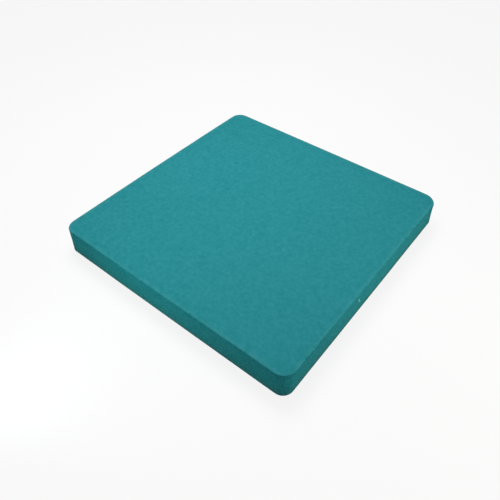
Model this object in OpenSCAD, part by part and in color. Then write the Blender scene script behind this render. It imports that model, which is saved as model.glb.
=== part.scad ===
// Floral foam pad: one thin square slab of fine, dense foam with rounded upright corners.
// The origin is at the middle of the underside, +Z points up, and the sides run along X and Y.
// All sizes are in millimetres.

/* [Pad] */
// Length of the pad along X
pad_length = 180; // [100:1:300]
// Width of the pad along Y
pad_width = 180; // [100:1:300]
// Thickness of the pad from its underside to its working face
pad_thickness = 20; // [8:0.5:50]

/* [Corners and edges] */
// Radius of the four upright corners, seen from above
corner_radius = 8; // [3:0.5:40]
// Radius of the soft rounding where the side walls meet the flat faces
edge_radius = 0.8; // [0.2:0.1:2]

/* [Hidden] */
$fn = 96;
foam_colour = [0.17, 0.55, 0.57];

// The straight run of each side is what lies between its two corner rounds.
straight_x = pad_length - 2 * corner_radius;
straight_y = pad_width - 2 * corner_radius;

// Upright section through the rim, from a corner's centre (x = 0) out to the side wall.
// Both outer corners of the section are rounded, so the rim has no sharp edge.
module rim_section() {
    square([corner_radius - edge_radius, pad_thickness]);
    translate([0, edge_radius])
        square([corner_radius, pad_thickness - 2 * edge_radius]);
    for (height = [edge_radius, pad_thickness - edge_radius])
        translate([corner_radius - edge_radius, height])
            circle(r = edge_radius);
}

// One rounded corner: the rim section turned through a quarter turn, which faces +X and +Y.
module corner_round() {
    rotate_extrude(angle = 90)
        rim_section();
}

// One straight stretch of rim that faces +X, centred on Y = 0, with its inner face at X = 0.
module straight_rim(run) {
    translate([0, run / 2, 0])
        rotate([90, 0, 0])
            linear_extrude(height = run)
                rim_section();
}

// The flat block that the four stretches of rim surround.
module middle_block() {
    translate([-straight_x / 2, -straight_y / 2, 0])
        cube([straight_x, straight_y, pad_thickness]);
}

// The whole pad, cut from a single sheet of foam.
module foam_pad() {
    color(foam_colour)
        union() {
            middle_block();
            for (turn = [0, 180])
                rotate([0, 0, turn])
                    translate([straight_x / 2, 0, 0])
                        straight_rim(straight_y);
            for (turn = [90, 270])
                rotate([0, 0, turn])
                    translate([straight_y / 2, 0, 0])
                        straight_rim(straight_x);
            for (x_side = [0, 1], y_side = [0, 1])
                mirror([x_side, 0, 0])
                    mirror([0, y_side, 0])
                        translate([straight_x / 2, straight_y / 2, 0])
                            corner_round();
        }
}

foam_pad();
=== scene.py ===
"""Looks of the floral foam pad: one closed slab of fine teal foam with soft edges and a torn nick."""

import math

import bmesh
import bpy
import numpy as np
from mathutils import Matrix, Vector, noise


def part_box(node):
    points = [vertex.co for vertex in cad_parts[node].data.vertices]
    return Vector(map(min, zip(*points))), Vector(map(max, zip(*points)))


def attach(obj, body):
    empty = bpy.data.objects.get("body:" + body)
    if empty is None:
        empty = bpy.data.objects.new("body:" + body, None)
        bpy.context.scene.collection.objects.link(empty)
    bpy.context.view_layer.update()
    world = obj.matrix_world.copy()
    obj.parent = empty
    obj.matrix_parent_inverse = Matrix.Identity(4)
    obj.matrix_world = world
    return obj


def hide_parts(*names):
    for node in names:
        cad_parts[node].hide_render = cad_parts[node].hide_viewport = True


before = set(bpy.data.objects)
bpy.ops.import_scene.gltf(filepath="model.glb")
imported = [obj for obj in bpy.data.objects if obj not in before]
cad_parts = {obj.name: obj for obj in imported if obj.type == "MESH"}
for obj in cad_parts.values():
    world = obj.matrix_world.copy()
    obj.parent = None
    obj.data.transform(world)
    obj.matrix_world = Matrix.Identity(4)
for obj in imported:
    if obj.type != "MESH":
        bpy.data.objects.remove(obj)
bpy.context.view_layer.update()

MM = 0.001

# The pad's shape. Its length, width and thickness come from the CAD node, and the radii repeat those
# of the CAD model.
PAD_LOW, PAD_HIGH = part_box("foam_pad")
HALF_X = (PAD_HIGH.x - PAD_LOW.x) / 2
HALF_Y = (PAD_HIGH.y - PAD_LOW.y) / 2
THICKNESS = PAD_HIGH.z - PAD_LOW.z
CORNER_RADIUS = 8 * MM
EDGE_RADIUS = 0.8 * MM

# Each corner leans: how much larger its radius is than CORNER_RADIUS at the top, and at the base.
# A corner is told by its signs of X and Y.
CORNER_EXTRAS = {
    (1, -1): (0.8 * MM, -1.0 * MM),
    (1, 1): (1.8 * MM, -3.4 * MM),
    (-1, 1): (-0.2 * MM, -0.2 * MM),
    (-1, -1): (0.1 * MM, -2.4 * MM),
}

# The cut sides aren't quite straight: how far out each one lies at its ends, and how much further out
# at its middle. A side is told by its axis, 0 for X and 1 for Y, and by its sign.
SIDE_BOWS = {
    (0, 1): (-0.10 * MM, 0.05 * MM),
    (0, -1): (-0.25 * MM, 0.50 * MM),
    (1, 1): (0.15 * MM, 0.15 * MM),
    (1, -1): (-0.05 * MM, 0.17 * MM),
}

# How finely the surface is divided: the size of a quad, the steps round an upright corner and over an
# edge, and the narrower steps of the flat band just inside the edge
GRID_STEP = 1.0 * MM
CORNER_STEPS = 12
EDGE_STEPS = 5
EDGE_BAND = 1.0 * MM
EDGE_BAND_STEPS = 2

# How far the soft surface strays from the perfect slab: random waves on the faces, on the walls and
# all over, each with its height, its length and the pattern that it takes from the noise
FACE_SWELL = 0.07 * MM
FACE_WAVE = 45 * MM
FACE_PATTERN = 3.1
WALL_SWELL = 0.06 * MM
WALL_WAVE = 16 * MM
WALL_PATTERN = 7.7
GRAIN_RELIEF = 0.012 * MM
GRAIN_WAVE = 1.5 * MM
GRAIN_PATTERN = 12.3

# The waves on the walls run upright, because they change this much more slowly along Z
UPRIGHT = (1, 1, 0.3)

# How far the top falls at its rim, over what width, and how hollow the walls are halfway up
RIM_FALL = 0.15 * MM
RIM_REACH = 12 * MM
WALL_HOLLOW = 0.10 * MM

# The painted highlight round the rim, with patches of rub wear: how far in from the wall it runs, and how
# wide it is
RIM_HIGHLIGHT_INSET = 1.2 * MM
RIM_HIGHLIGHT_WIDTH = 0.8 * MM

# How far up and in from the base's edge the painted shade reaches, where the pad rests on the floor
BASE_SHADE_REACH = 4.2 * MM

# Open cells: how many, how wide the rim left round each one is, and how deep it goes. They are chosen
# at random from the quads that aren't smaller than the least size.
OPEN_CELLS = [
    (120, 0.22 * MM, 0.10 * MM),
    (60, 0.16 * MM, 0.14 * MM),
]
OPEN_CELL_SEED = 20
SMALLEST_QUAD = 0.7 * GRID_STEP ** 2

# The nick in the +X wall: the middle of its torn lip, the lip's width and height, how far it leans
# along the wall for each step up, and how much the lip stands out and the pit above it goes in
NICK_Y = -16.8 * MM
NICK_Z = 13.0 * MM
NICK_WIDTH = 1.1 * MM
NICK_HEIGHT = 4.8 * MM
NICK_LEAN = 0.5
LIP_RISE = 0.30 * MM
PIT_DEPTH = 1.00 * MM

# The pit's middle, in half heights of the lip above the lip's own, and how many times shorter it is
PIT_PLACE = 1.5
PIT_SHORTNESS = 2

# How the wall is worked round the nick: how squarely a face has to face +X to be divided, into how
# many steps, how near the wall's plane a point has to lie to be moved, and to be painted as the pale
# torn lip with its painted highlight, and how far from the nick the open cells stay
NICK_FACING = 0.9
NICK_CUTS = 4
NICK_REACH = 0.5 * MM
TORN_REACH = 1 * MM
NICK_CLEARANCE = 2 * NICK_HEIGHT

# Colours, as linear light: the foam where its cells are closed up and where they lie open; the tint
# of the cut walls, partly their own tone and partly painted shade, and the painted shade that makes
# them greener and darker towards the base and darkens the base's edge; the painted highlight round
# the rim, with patches of rub wear; and the pale torn foam of the nick's lip, with its painted highlight
DEEP_TEAL = (0.0130, 0.1790, 0.2020)
SOFT_TEAL = (0.0265, 0.2270, 0.2560)
CUT_WALL_TONE_AND_SHADE = (0.50, 0.80, 0.775)
LOW_WALL_SHADE_TINT = (1.35, 0.97, 0.92)
BASE_SHADE_TINT = (1.40, 0.77, 0.75)
RIM_HIGHLIGHT_TEAL = (0.0600, 0.2550, 0.2550)
TORN_LIP_AND_HIGHLIGHT = (0.1050, 0.3900, 0.4100)

# The foam's grain: the size of a cell, of small clumps of cells, finer on the walls, of large clumps
# and of clouds of tone
CELL_SIZE = 0.55 * MM
SMALL_CLUMPS = 2.6 * MM
WALL_CLUMPS = 1.5 * MM
LARGE_CLUMPS = 5.5 * MM
CLOUDS = 38 * MM

# How finely the noise of the clumps and of the clouds breaks up, and how rough that fine part is
CLUMP_DETAIL = 1.0
CLOUD_DETAIL = 2.0
NOISE_ROUGHNESS = 0.5

# How much each part of the grain sways the colour from deep to soft teal, how much more it does so on
# the walls, and how far along from deep to soft the colour is on the whole
LARGE_SWAY = 0.3
SMALL_SWAY = 1.1
CELL_SWAY = 0.3
CLOUD_SWAY = 0.15
WALL_CONTRAST = 3.0
MEAN_SOFTNESS = 0.5

# The mean value of a noise or of a cell's tone, and of the distance to the middle of a cell
NOISE_MEAN = 0.5
CELL_MEAN = 0.35

# How strong the painted rim highlight is, and how much that changes from place to place
RIM_HIGHLIGHT_STRENGTH = 0.22
RIM_HIGHLIGHT_PATCHES = 0.6

# Matt foam: its roughness, how much less rough it is in the seams between cells, its faint gloss, and
# the strength and depth of the bumps that clumps and cells make
FOAM_ROUGHNESS = 0.90
SEAM_SMOOTHNESS = -0.2
FOAM_GLOSS = 0.02
CLUMP_BUMP = (0.5, 0.20 * MM)
CELL_BUMP = (0.6, 0.12 * MM)


# ---------------------------------------------------------------- surface of the slab

def even_steps(start, stop, step):
    """Evenly spaced places from start to stop, about one step apart."""
    count = max(1, round(abs(stop - start) / step))
    return np.linspace(start, stop, count + 1)


def rim_columns(xs, ys):
    """For each column of the rim, anticlockwise from above: the corner or edge point of the
    flat middle that it starts from, as grid indices, and the direction that it runs out in."""
    last_x, last_y = len(xs) - 1, len(ys) - 1
    sides = [
        ([(i, 0) for i in range(last_x + 1)], -90),
        ([(last_x, j) for j in range(last_y + 1)], 0),
        ([(i, last_y) for i in reversed(range(last_x + 1))], 90),
        ([(0, j) for j in reversed(range(last_y + 1))], 180),
    ]
    columns = []
    for starts, facing in sides:
        columns += [(start, facing) for start in starts]
        turn = 90 / CORNER_STEPS
        columns += [(starts[-1], facing + turn * k) for k in range(1, CORNER_STEPS)]
    return columns


def rim_profile():
    """(reach, height) pairs down the rim, from the flat top, over the edge, down the wall and under."""
    inner_reach = CORNER_RADIUS - EDGE_RADIUS
    band_start = inner_reach - EDGE_BAND
    flat = np.concatenate([
        even_steps(0, band_start, GRID_STEP),
        np.linspace(band_start, inner_reach, EDGE_BAND_STEPS + 1)[1:],
    ])
    turns = np.linspace(0, math.pi / 2, EDGE_STEPS + 1)
    edge_reach = inner_reach + EDGE_RADIUS * np.sin(turns)
    edge_drop = EDGE_RADIUS * (1 - np.cos(turns))
    wall = even_steps(THICKNESS - EDGE_RADIUS, EDGE_RADIUS, GRID_STEP)
    reach = np.concatenate([
        flat, edge_reach[1:], np.full(len(wall) - 2, CORNER_RADIUS), edge_reach[::-1], flat[::-1][1:],
    ])
    height = np.concatenate([
        np.full(len(flat), THICKNESS), THICKNESS - edge_drop[1:], wall[1:-1],
        edge_drop[::-1], np.zeros(len(flat) - 1),
    ])
    return list(zip(reach, height))


def slab_mesh():
    """The closed slab as a grid of quads, with fans of triangles at the corners' centres."""
    xs = even_steps(CORNER_RADIUS - HALF_X, HALF_X - CORNER_RADIUS, GRID_STEP)
    ys = even_steps(CORNER_RADIUS - HALF_Y, HALF_Y - CORNER_RADIUS, GRID_STEP)
    columns = rim_columns(xs, ys)
    profile = rim_profile()
    row_size = len(ys)
    under = len(xs) * row_size
    rim_start = 2 * under
    inner_rows = len(profile) - 2

    points = [(x, y, THICKNESS) for x in xs for y in ys]
    points += [(x, y, 0.0) for x in xs for y in ys]
    for (i, j), facing in columns:
        out_x, out_y = math.cos(math.radians(facing)), math.sin(math.radians(facing))
        for reach, height in profile[1:-1]:
            points.append((xs[i] + out_x * reach, ys[j] + out_y * reach, height))

    faces = []
    for i in range(len(xs) - 1):
        for j in range(len(ys) - 1):
            corner = i * row_size + j
            quad = (corner, corner + row_size, corner + row_size + 1, corner + 1)
            faces.append(quad)
            faces.append(tuple(under + k for k in reversed(quad)))

    def rim_point(column, row):
        i, j = columns[column][0]
        if row == 0:
            return i * row_size + j
        if row == len(profile) - 1:
            return under + i * row_size + j
        return rim_start + column * inner_rows + row - 1

    for column in range(len(columns)):
        after = (column + 1) % len(columns)
        for row in range(len(profile) - 1):
            quad = [
                rim_point(column, row), rim_point(column, row + 1),
                rim_point(after, row + 1), rim_point(after, row),
            ]
            # Next to a corner's centre two of the four points are one, which leaves a triangle.
            faces.append(tuple(dict.fromkeys(quad)))

    mesh = bpy.data.meshes.new("foam_pad_surface")
    mesh.from_pydata(points, [], faces)
    mesh.update()
    return mesh


def mesh_points(mesh):
    """The mesh's points as an array."""
    flat = np.zeros(len(mesh.vertices) * 3)
    mesh.vertices.foreach_get("co", flat)
    return flat.reshape(-1, 3)


def smooth_noise(points, wavelength, shift):
    """One smooth random value from about -1 to 1 for each point. Another shift gives another pattern."""
    offset = Vector((shift, -shift, 2 * shift))
    return np.array([noise.noise(Vector(p) / wavelength + offset) for p in points])


def rim_inset(points):
    """How far in from the nearest wall each point lies, and how far out from a corner's centre."""
    beyond_x = np.abs(points[:, 0]) - (HALF_X - CORNER_RADIUS)
    beyond_y = np.abs(points[:, 1]) - (HALF_Y - CORNER_RADIUS)
    outside = np.hypot(np.maximum(beyond_x, 0), np.maximum(beyond_y, 0))
    inset = CORNER_RADIUS - outside - np.minimum(np.maximum(beyond_x, beyond_y), 0)
    return np.maximum(inset, 0)


def corner_reach(outward, extra):
    """How far out a corner reaches in each outward direction, from the centre of its plain rounding,
    when its radius is larger than that by extra. A sharper corner runs straight on to its smaller arc."""
    sharper, softer = -np.minimum(extra, 0), np.maximum(extra, 0)
    middle = sharper * outward.sum(axis=1)
    arc = middle + np.sqrt(middle ** 2 - 2 * sharper ** 2 + (CORNER_RADIUS - sharper) ** 2)
    straight = CORNER_RADIUS / outward.max(axis=1)
    edge = np.where(arc * outward.min(axis=1) > sharper, arc, straight)
    return edge - softer * (outward.sum(axis=1) - 1)


def lean_corners(points):
    """Gives each corner its own radii at the top and at the base, with an even change between them."""
    beyond = np.abs(points[:, :2]) - (np.array((HALF_X, HALF_Y)) - CORNER_RADIUS)
    cornered = (beyond > 0).all(axis=1)
    for signs, (top_extra, base_extra) in CORNER_EXTRAS.items():
        here = cornered & (np.sign(points[:, :2]) == signs).all(axis=1)
        reach = np.linalg.norm(beyond[here], axis=1)
        outward = beyond[here] / reach[:, None]
        extra = base_extra + (top_extra - base_extra) * points[here, 2] / THICKNESS
        push = (corner_reach(outward, extra) - CORNER_RADIUS) * (reach / CORNER_RADIUS) ** 2
        points[here, :2] += signs * outward * push[:, None]


def bow_sides(points):
    """Lets the sides run a little in and out, as the cutter did."""
    halves = (HALF_X, HALF_Y)
    stretch = np.ones((len(points), 2))
    for (axis, sign), (ends, middle) in SIDE_BOWS.items():
        along = points[:, 1 - axis] / halves[1 - axis]
        here = points[:, axis] * sign > 0
        stretch[here, axis] += ((ends + middle * (1 - along ** 2)) / halves[axis])[here]
    points[:, :2] *= stretch


def soften(mesh):
    """Gives the perfect slab the slight unevenness of cut foam: a top that falls a little to its rim,
    a faint swell over the flat faces, walls that the cutter left wavy and a little hollow, a fine
    relief of cells all over, corners that lean and sides that bow."""
    points = mesh_points(mesh)
    normals = np.zeros(len(points) * 3)
    mesh.vertex_normals.foreach_get("vector", normals)
    normals = normals.reshape(-1, 3)
    flatness = normals[:, 2] ** 2
    height = points[:, 2] / THICKNESS
    fall = -RIM_FALL * np.maximum(1 - rim_inset(points) / RIM_REACH, 0) ** 2 * height * flatness
    swell = FACE_SWELL * smooth_noise(points, FACE_WAVE, FACE_PATTERN) * flatness
    wave = WALL_SWELL * smooth_noise(points * UPRIGHT, WALL_WAVE, WALL_PATTERN) * (1 - flatness)
    hollow = -WALL_HOLLOW * 4 * height * (1 - height) * (1 - flatness)
    grain = GRAIN_RELIEF * smooth_noise(points, GRAIN_WAVE, GRAIN_PATTERN)
    points += normals * (fall + swell + wave + hollow + grain)[:, None]
    lean_corners(points)
    bow_sides(points)
    points[:, 2] = np.maximum(points[:, 2], 0)
    mesh.vertices.foreach_set("co", points.ravel())
    mesh.update()


def open_cells(surface, random):
    """Sinks some of the surface's quads a little, where a cell of the foam lies open."""
    nick = Vector((HALF_X, NICK_Y, NICK_Z))
    away_from_nick = [
        f for f in surface.faces
        if len(f.verts) == 4 and f.calc_area() > SMALLEST_QUAD
        and (f.calc_center_median() - nick).length > NICK_CLEARANCE
    ]
    chosen = random.choice(len(away_from_nick), sum(count for count, _, _ in OPEN_CELLS), replace=False)
    for count, rim, depth in OPEN_CELLS:
        group, chosen = chosen[:count], chosen[count:]
        bmesh.ops.inset_individual(
            surface, faces=[away_from_nick[k] for k in group], thickness=rim, depth=-depth,
        )


def tear_nick(surface):
    """Divides the +X wall finely round the nick, presses a slit in and raises the lip below it."""
    nick = Vector((HALF_X, NICK_Y, NICK_Z))
    near = [
        f for f in surface.faces
        if (f.calc_center_median() - nick).length < NICK_HEIGHT and f.normal.x > NICK_FACING
    ]
    edges = list({e for f in near for e in f.edges})
    bmesh.ops.subdivide_edges(surface, edges=edges, cuts=NICK_CUTS, use_grid_fill=True)
    for v in surface.verts:
        if abs(v.co.x - HALF_X) > NICK_REACH:
            continue
        pit, lip = nick_shape(v.co.y, v.co.z)
        v.co.x += LIP_RISE * lip - PIT_DEPTH * pit


def nick_shape(y, z):
    """How strongly a point of the wall belongs to the nick's pit and to its torn lip, from 0 to 1."""
    along = (z - NICK_Z) / (NICK_HEIGHT / 2)
    across = (y - NICK_Y + NICK_LEAN * (z - NICK_Z)) / (NICK_WIDTH / 2)
    pit = math.exp(-across ** 2 - (PIT_SHORTNESS * (along - PIT_PLACE)) ** 2)
    lip = math.exp(-across ** 2 - along ** 4)
    return pit, lip


def paint_masks(mesh):
    """Stores on each point how strongly the painted rim highlight, with patches of rub wear, lies there,
    how far it belongs to the cut walls, how low it lies, how much painted shade darkens the base's
    edge, and how far it belongs to the nick's pale torn lip with its painted highlight."""
    points = mesh_points(mesh)
    inset = rim_inset(points)
    drop = np.maximum(np.minimum(points[:, 2], THICKNESS - points[:, 2]), 0)
    # Painted highlight: a pale line on the top, just inside the rounded rim.
    rim_highlight_and_wear = np.exp(-((inset - RIM_HIGHLIGHT_INSET) / RIM_HIGHLIGHT_WIDTH) ** 2 - (drop / RIM_HIGHLIGHT_WIDTH) ** 2)
    # Painted shade: the foam is darker near the base's edge, where it meets the floor.
    base_edge_shade = np.exp(-(points[:, 2] / BASE_SHADE_REACH) ** 2 - (inset / BASE_SHADE_REACH) ** 2)
    cut = np.clip(drop / EDGE_RADIUS, 0, 1)
    low = 1 - points[:, 2] / THICKNESS
    # The nick's lip: pale torn foam with a painted highlight.
    torn_lip_with_highlight = np.array([
        nick_shape(y, z)[1] if x > HALF_X - TORN_REACH else 0.0 for x, y, z in points
    ])
    masks = {"rim_highlight_and_wear": rim_highlight_and_wear, "cut": cut, "low": low, "base_edge_shade": base_edge_shade, "torn_lip_with_highlight": torn_lip_with_highlight}
    for name, values in masks.items():
        mask = mesh.attributes.new(name, "FLOAT", "POINT")
        mask.data.foreach_set("value", values.astype(np.float32))


def foam_pad():
    """The pad as one closed piece."""
    mesh = slab_mesh()
    soften(mesh)
    surface = bmesh.new()
    surface.from_mesh(mesh)
    open_cells(surface, np.random.default_rng(OPEN_CELL_SEED))
    tear_nick(surface)
    surface.to_mesh(mesh)
    surface.free()
    mesh.update()
    mesh.shade_smooth()
    paint_masks(mesh)
    piece = bpy.data.objects.new("foam_slab", mesh)
    bpy.context.scene.collection.objects.link(piece)
    return piece


# ---------------------------------------------------------------- materials

# A Mix node's sockets for colours, by number, because their names repeat for other kinds of data
MIX_AMOUNT, MIX_FIRST, MIX_SECOND = 0, 6, 7
MIX_RESULT = 2

PURE_WHITE = (1, 1, 1, 1)

# The floor shines white of its own, like a light table: the little light that its surface returns,
# how strongly it glows, and its roughness and gloss
FLOOR_SURFACE = (0.08, 0.08, 0.08)
FLOOR_GLOW = 0.87
FLOOR_ROUGHNESS = 0.9
FLOOR_GLOSS = 0.1


def add_node(tree, kind, inputs=None, **settings):
    """A shader node with its settings made and its inputs linked, or set where they are plain values."""
    made = tree.nodes.new("ShaderNode" + kind)
    for name, value in settings.items():
        setattr(made, name, value)
    for name, value in (inputs or {}).items():
        if isinstance(value, bpy.types.NodeSocket):
            tree.links.new(value, made.inputs[name])
        else:
            made.inputs[name].default_value = value
    return made


def new_material(name):
    """An empty node material with its Principled shader wired to the output."""
    material = bpy.data.materials.new(name)
    material.use_nodes = True
    tree = material.node_tree
    tree.nodes.clear()
    shader = add_node(tree, "BsdfPrincipled")
    add_node(tree, "OutputMaterial", {"Surface": shader.outputs["BSDF"]})
    return material, tree, shader


def math_node(tree, operation, first, second):
    """What the operation makes of two values or sockets."""
    return add_node(tree, "Math", {0: first, 1: second}, operation=operation).outputs[0]


def blend_colours(tree, amount, first, second):
    """The first colour or socket where the amount is 0, and the second where it is 1."""
    mix = add_node(tree, "Mix", {MIX_AMOUNT: amount}, data_type="RGBA")
    for socket, colour in ((MIX_FIRST, first), (MIX_SECOND, second)):
        if isinstance(colour, bpy.types.NodeSocket):
            tree.links.new(colour, mix.inputs[socket])
        else:
            mix.inputs[socket].default_value = (*colour, 1)
    return mix.outputs[MIX_RESULT]


def tinted(tree, colour, tint):
    """The colour times the tint."""
    return add_node(tree, "VectorMath", {0: colour, 1: tint}, operation="MULTIPLY").outputs["Vector"]


def weighed(tree, middle, shares):
    """The middle value, varied by each source that strays from its own mean, times its weight."""
    total = middle
    for source, mean, weight in shares:
        sway = {0: source, 1: weight, 2: -mean * weight}
        share = add_node(tree, "Math", sway, operation="MULTIPLY_ADD").outputs[0]
        total = math_node(tree, "ADD", share, total)
    return total


def bump(tree, strength_and_depth, inputs):
    """The surface's direction, with bumps of that strength and depth where the height changes."""
    strength, depth = strength_and_depth
    return add_node(tree, "Bump", {**inputs, "Strength": strength, "Distance": depth}).outputs["Normal"]


def foam_material():
    """Fine closed-cell foam: cells cut open at the surface, a slight mottle, cut walls that are darker
    and greener, partly of their own and partly with painted shade that grows towards the base,
    painted shade along the base's edge, a painted highlight round the rim with patches of rub wear,
    and a pale torn spot with a painted highlight."""
    material, tree, shader = new_material("teal_foam")
    place = add_node(tree, "TexCoord").outputs["Object"]

    def clumps(size, detail):
        return add_node(tree, "TexNoise", {
            "Vector": place, "Scale": 1 / size, "Detail": detail, "Roughness": NOISE_ROUGHNESS,
        }).outputs["Fac"]

    def painted(name):
        return add_node(tree, "Attribute", attribute_name=name).outputs["Fac"]

    cells = add_node(tree, "TexVoronoi", {"Vector": place, "Scale": 1 / CELL_SIZE})
    cell_tone = add_node(tree, "SeparateColor", {"Color": cells.outputs["Color"]}).outputs["Red"]
    cell_depth = cells.outputs["Distance"]
    cut = painted("cut")
    small_clumps = blend_colours(
        tree, cut, clumps(SMALL_CLUMPS, CLUMP_DETAIL), clumps(WALL_CLUMPS, CLUMP_DETAIL),
    )
    large_clumps = clumps(LARGE_CLUMPS, CLUMP_DETAIL)
    clouds = clumps(CLOUDS, CLOUD_DETAIL)

    # The grain shows more on the walls, where the cutter opened the cells.
    grain = weighed(tree, 0.0, (
        (large_clumps, NOISE_MEAN, LARGE_SWAY), (small_clumps, NOISE_MEAN, SMALL_SWAY),
        (cell_tone, NOISE_MEAN, CELL_SWAY), (clouds, NOISE_MEAN, CLOUD_SWAY),
    ))
    contrast = weighed(tree, 1.0, ((cut, 0.0, WALL_CONTRAST),))
    softness = math_node(tree, "ADD", math_node(tree, "MULTIPLY", grain, contrast), MEAN_SOFTNESS)
    teal = blend_colours(tree, softness, DEEP_TEAL, SOFT_TEAL)
    # Painted shade: the cut walls grow greener and a little darker towards the base.
    lowest_wall_tone_and_shade = tuple(cut_share * low_share for cut_share, low_share in zip(CUT_WALL_TONE_AND_SHADE, LOW_WALL_SHADE_TINT))
    wall_shade_by_height = blend_colours(tree, painted("low"), CUT_WALL_TONE_AND_SHADE, lowest_wall_tone_and_shade)
    # The cut walls are darker and greener: partly the open cells' own tone, partly painted shade of the
    # upright walls.
    walls_toned_and_shaded = blend_colours(tree, cut, teal, tinted(tree, teal, wall_shade_by_height))
    # Painted shade darkens the foam near the base's edge.
    base_edge_shade = blend_colours(tree, painted("base_edge_shade"), walls_toned_and_shaded, tinted(tree, walls_toned_and_shaded, BASE_SHADE_TINT))
    patchy = weighed(tree, RIM_HIGHLIGHT_STRENGTH, ((large_clumps, NOISE_MEAN, RIM_HIGHLIGHT_PATCHES),))
    # Painted highlight round the rim, in patches like rub wear.
    rim_highlighted = blend_colours(tree, math_node(tree, "MULTIPLY", painted("rim_highlight_and_wear"), patchy), base_edge_shade, RIM_HIGHLIGHT_TEAL)
    # Pale torn foam with a painted highlight on the nick's lip.
    foam = blend_colours(tree, painted("torn_lip_with_highlight"), rim_highlighted, TORN_LIP_AND_HIGHLIGHT)
    tree.links.new(foam, shader.inputs["Base Color"])

    roughness = weighed(tree, FOAM_ROUGHNESS, ((cell_depth, CELL_MEAN, SEAM_SMOOTHNESS),))
    tree.links.new(roughness, shader.inputs["Roughness"])

    bumped = bump(tree, CLUMP_BUMP, {"Height": small_clumps})
    bumped = bump(tree, CELL_BUMP, {"Height": cell_depth, "Normal": bumped})
    tree.links.new(bumped, shader.inputs["Normal"])
    shader.inputs["Specular IOR Level"].default_value = FOAM_GLOSS
    return material


def floor_material():
    """A white floor that glows evenly, so that it stays pale all over and shadows on it are faint."""
    material, tree, shader = new_material("white_floor")
    shader.inputs["Emission Color"].default_value = PURE_WHITE
    shader.inputs["Emission Strength"].default_value = FLOOR_GLOW
    shader.inputs["Base Color"].default_value = (*FLOOR_SURFACE, 1)
    shader.inputs["Roughness"].default_value = FLOOR_ROUGHNESS
    shader.inputs["Specular IOR Level"].default_value = FLOOR_GLOSS
    return material


# ---------------------------------------------------------------- studio

# The floor's radius in metres, and how many sides its circle has
FLOOR_RADIUS = 12
FLOOR_SIDES = 64

# Just under the plane that the pad rests on, so that the floor and the underside never coincide
FLOOR_LEVEL = -0.02 * MM


def studio_floor():
    """A round floor, so wide that its far edge is a level horizon from any side."""
    mesh = bpy.data.meshes.new("floor")
    turns = [2 * math.pi * k / FLOOR_SIDES for k in range(FLOOR_SIDES)]
    rim = [(FLOOR_RADIUS * math.cos(turn), FLOOR_RADIUS * math.sin(turn), FLOOR_LEVEL) for turn in turns]
    mesh.from_pydata(rim, [], [range(FLOOR_SIDES)])
    mesh.materials.append(floor_material())
    floor = bpy.data.objects.new("studio_floor", mesh)
    bpy.context.scene.collection.objects.link(floor)


def direction(azimuth, elevation):
    """The unit vector towards a place round the pad. Azimuth 0 is in front, at -Y, and 90 is at +X."""
    a, e = math.radians(azimuth), math.radians(elevation)
    return Vector((math.sin(a) * math.cos(e), -math.cos(a) * math.cos(e), math.sin(e)))


# Each soft light near the pad: azimuth and elevation in degrees, distance and side of its square in
# metres, the angle that it spreads over in degrees, power in watts, and colour
LIGHTS = {
    "key": (245, 75, 0.35, 0.160, 180, 0.945, (1.0, 1.0, 1.0)),
    "left_fill": (-8, 11, 0.21, 0.050, 120, 0.038, (0.88, 1.0, 0.97)),
    "right_fill": (97, 9, 0.36, 0.080, 90, 0.133, (1.12, 1.0, 0.93)),
}

# The even light from high up: azimuth and elevation, strength, and how wide it looks from the pad. Its
# distance changes nothing.
SUN_DIRECTION = (218, 60)
SUN_STRENGTH = 1.5
SUN_SPREAD = 25
SUN_DISTANCE = 1.0

# How bright the air is as a light, and as the backdrop that the camera sees
AMBIENT = 0.10
BACKDROP = 0.91


def add_light(name, kind, towards, distance, strength):
    """A light that shines at the pad from one side, and isn't seen itself."""
    lamp = bpy.data.lights.new(name, kind)
    lamp.energy = strength
    light = bpy.data.objects.new(name, lamp)
    light.location = towards * distance
    light.rotation_euler = towards.to_track_quat("Z", "Y").to_euler()
    light.visible_camera = False
    bpy.context.scene.collection.objects.link(light)
    return lamp


def studio_lights():
    """Small soft lights near the pad, and an even light from high up behind it."""
    for name, (azimuth, elevation, distance, side, spread, power, colour) in LIGHTS.items():
        lamp = add_light(name, "AREA", direction(azimuth, elevation), distance, power)
        lamp.size = side
        lamp.spread = math.radians(spread)
        lamp.color = colour
    sun = add_light("even_light", "SUN", direction(*SUN_DIRECTION), SUN_DISTANCE, SUN_STRENGTH)
    sun.angle = math.radians(SUN_SPREAD)


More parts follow.
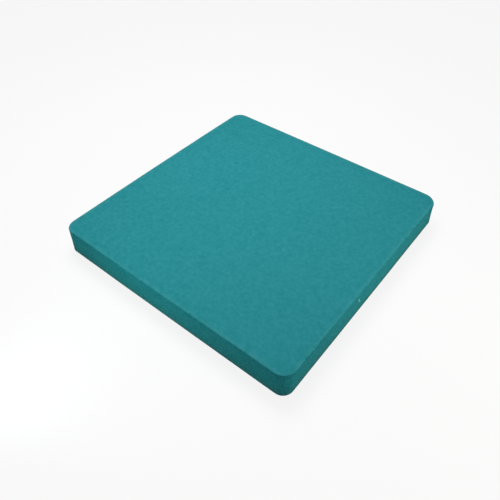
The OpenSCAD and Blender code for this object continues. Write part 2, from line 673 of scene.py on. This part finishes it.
def studio_air():
    """A dim even light from all round, and a pale backdrop behind it."""
    world = bpy.data.worlds.new("studio")
    world.use_nodes = True
    tree = world.node_tree
    tree.nodes.clear()
    ambient = add_node(tree, "Background", {"Strength": AMBIENT})
    backdrop = add_node(tree, "Background", {"Strength": BACKDROP})
    seen = add_node(tree, "LightPath").outputs["Is Camera Ray"]
    both = add_node(tree, "MixShader", {0: seen, 1: ambient.outputs[0], 2: backdrop.outputs[0]})
    add_node(tree, "OutputWorld", {"Surface": both.outputs[0]})
    for sky in (ambient, backdrop):
        sky.inputs["Color"].default_value = PURE_WHITE
    bpy.context.scene.world = world


# The camera's place round a point near the pad's middle, in degrees and metres, with a slight roll
VIEW_AZIMUTH = 38.284
VIEW_ELEVATION = 46.317
VIEW_ROLL = 0.333
VIEW_DISTANCE = 341.4 * MM
VIEW_TARGET = Vector((6.4 * MM, -15.1 * MM, 0))

# Its lens and the width of its sensor, in millimetres as Blender counts them, and the nearest that it
# sees, in metres
VIEW_LENS = 36.13
SENSOR = 36.0
NEAREST = 0.01


def studio_camera():
    """The camera, turned so that its own Z axis points back from the pad."""
    lens = bpy.data.cameras.new("camera")
    lens.lens = VIEW_LENS
    lens.sensor_width = SENSOR
    lens.clip_start = NEAREST
    back = direction(VIEW_AZIMUTH, VIEW_ELEVATION)
    level = Vector((math.cos(math.radians(VIEW_AZIMUTH)), math.sin(math.radians(VIEW_AZIMUTH)), 0))
    roll = Matrix.Rotation(math.radians(VIEW_ROLL), 3, back)
    right = roll @ level
    up = back.cross(right)
    camera = bpy.data.objects.new("camera", lens)
    camera.matrix_world = Matrix((right, up, back)).transposed().to_4x4()
    camera.location = VIEW_TARGET + back * VIEW_DISTANCE
    bpy.context.scene.collection.objects.link(camera)
    bpy.context.scene.camera = camera


# ---------------------------------------------------------------- assembly

pad = foam_pad()
pad.data.materials.append(foam_material())
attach(pad, "root")
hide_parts("foam_pad")

studio_floor()
studio_lights()
studio_air()
studio_camera()
bpy.context.scene.view_settings.view_transform = "Standard"
